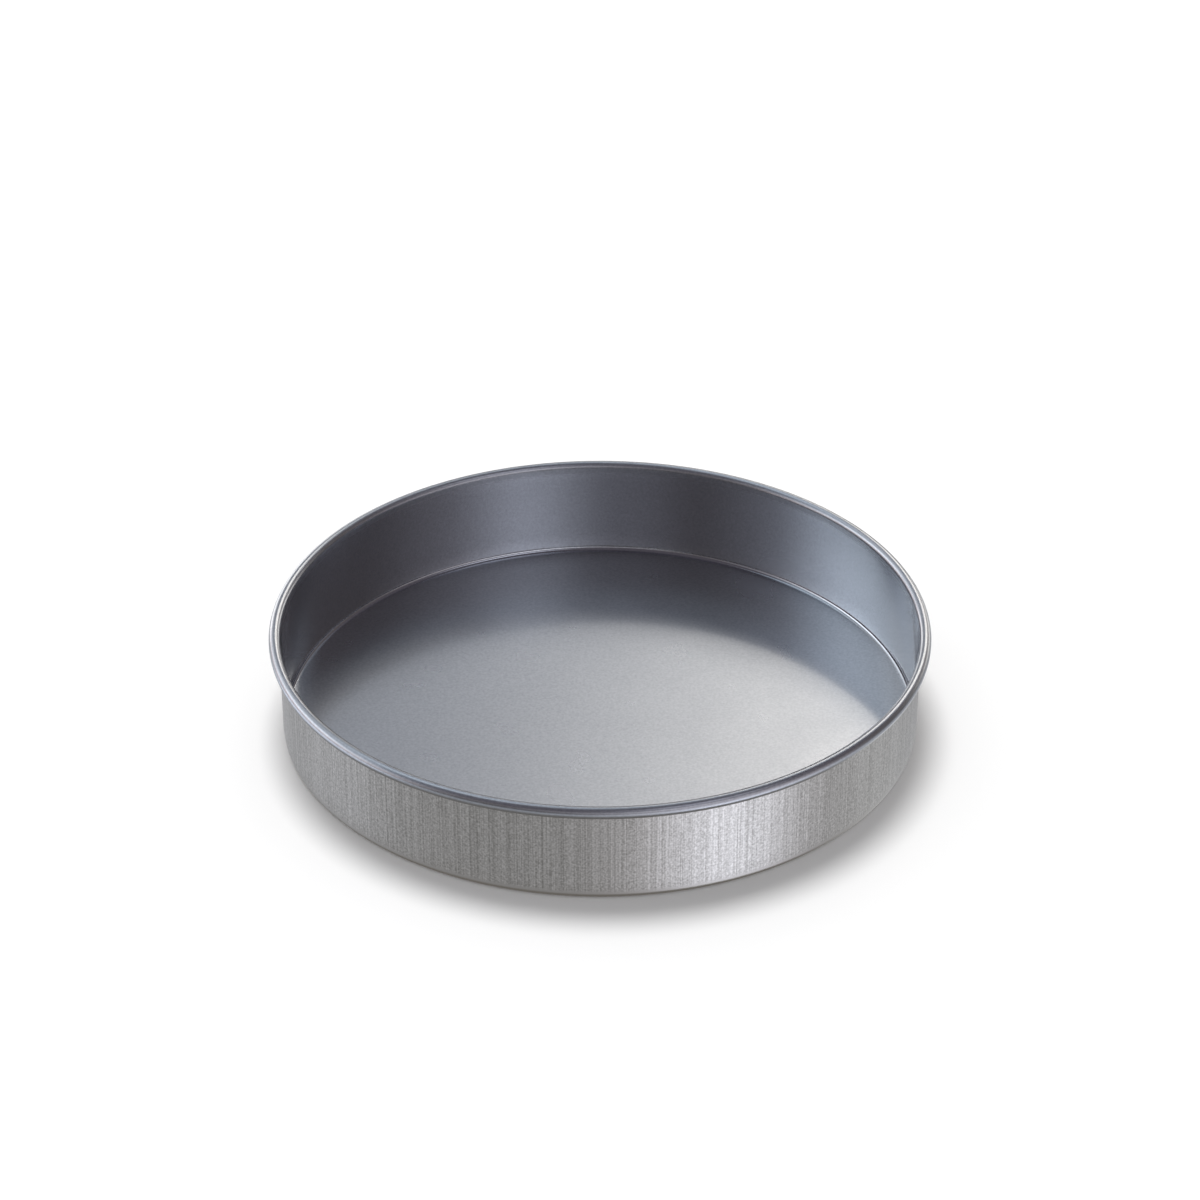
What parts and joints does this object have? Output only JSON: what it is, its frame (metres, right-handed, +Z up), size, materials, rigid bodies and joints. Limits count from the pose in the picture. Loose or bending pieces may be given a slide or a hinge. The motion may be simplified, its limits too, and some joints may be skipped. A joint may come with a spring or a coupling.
{
  "type": "round cake pan",
  "caption": "Round, straight-sided cake pan drawn in sheet steel, with a flat floor, a tight bottom corner and a wired, rolled rim. Open at the top, it holds batter while it bakes.",
  "frame": {"origin": "middle of the pan's underside, on the surface it stands on", "axes": "+Z up, along the pan's axis, from the floor to the rim"},
  "size_m": [0.237, 0.237, 0.0387],
  "materials": {
    "pan_sheet": "bare aluminised steel with upright draw marks outside, silver release coating inside",
    "rim_wire": "drawn steel wire, dull"
  },
  "bodies": {
    "root": {"pan_body": "pan_sheet", "rim_wire": "rim_wire"}
  },
  "joints": []
}
